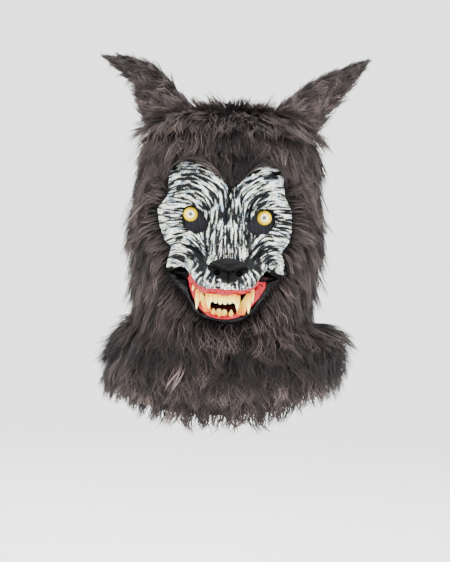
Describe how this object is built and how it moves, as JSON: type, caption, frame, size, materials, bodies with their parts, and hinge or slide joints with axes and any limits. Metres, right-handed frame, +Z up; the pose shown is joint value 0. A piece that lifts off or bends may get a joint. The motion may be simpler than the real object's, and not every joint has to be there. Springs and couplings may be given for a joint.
{
  "type": "werewolf mask",
  "caption": "Pull-over costume mask: long-pile fur hood with a shoulder cape and bent fur ears, and a moulded, painted wolf face with bared teeth.",
  "frame": {"origin": "inside of the crown, on the middle line, where the mask sits on a head", "axes": "+Z up, the face looks along -Y, +X to the right as seen from the front"},
  "size_m": [0.3278, 0.3338, 0.4657],
  "materials": {
    "cloth": "knitted backing of fur cloth, dark brown",
    "fur": "long shaggy pile, dark warm brown with greyer tips",
    "face_paint": "black moulded face dry-brushed white, grey and faint green, semi-gloss",
    "nose_gloss": "black, fine leather grain, glossy",
    "gauze": "fine black sight gauze",
    "eye": "yellow with a pale ring round the pupil, glossy",
    "pupil": "dark, glossy",
    "gum": "pink-red, wet gloss",
    "tooth": "cream, orange-brown at the roots",
    "black_lip": "black, high gloss"
  },
  "bodies": {
    "root": {"hood_backing": "cloth", "cape_backing": "cloth", "ear_left": "fur", "ear_right": "fur", "hood_pile": "fur", "cape_pile": "fur", "face_shell": "face_paint", "nose": "nose_gloss", "eye_mesh_left": "gauze", "eye_left": "eye", "pupil_left": "pupil", "eye_mesh_right": "gauze", "eye_right": "eye", "pupil_right": "pupil", "upper_gum": "gum", "lower_gum": "gum", "side_tooth_left": "tooth", "outer_fang_left": "tooth", "upper_canine_left": "tooth", "upper_incisor_1": "tooth", "upper_incisor_2": "tooth", "upper_incisor_3": "tooth", "upper_incisor_4": "tooth", "upper_incisor_5": "tooth", "upper_incisor_6": "tooth", "upper_canine_right": "tooth", "outer_fang_right": "tooth", "side_tooth_right": "tooth", "lower_canine_left": "tooth", "lower_incisor_1": "tooth", "lower_incisor_2": "tooth", "lower_incisor_3": "tooth", "lower_incisor_4": "tooth", "lower_canine_right": "tooth", "jaw_lip": "black_lip", "mouth_liner": "black_lip"}
  },
  "joints": []
}
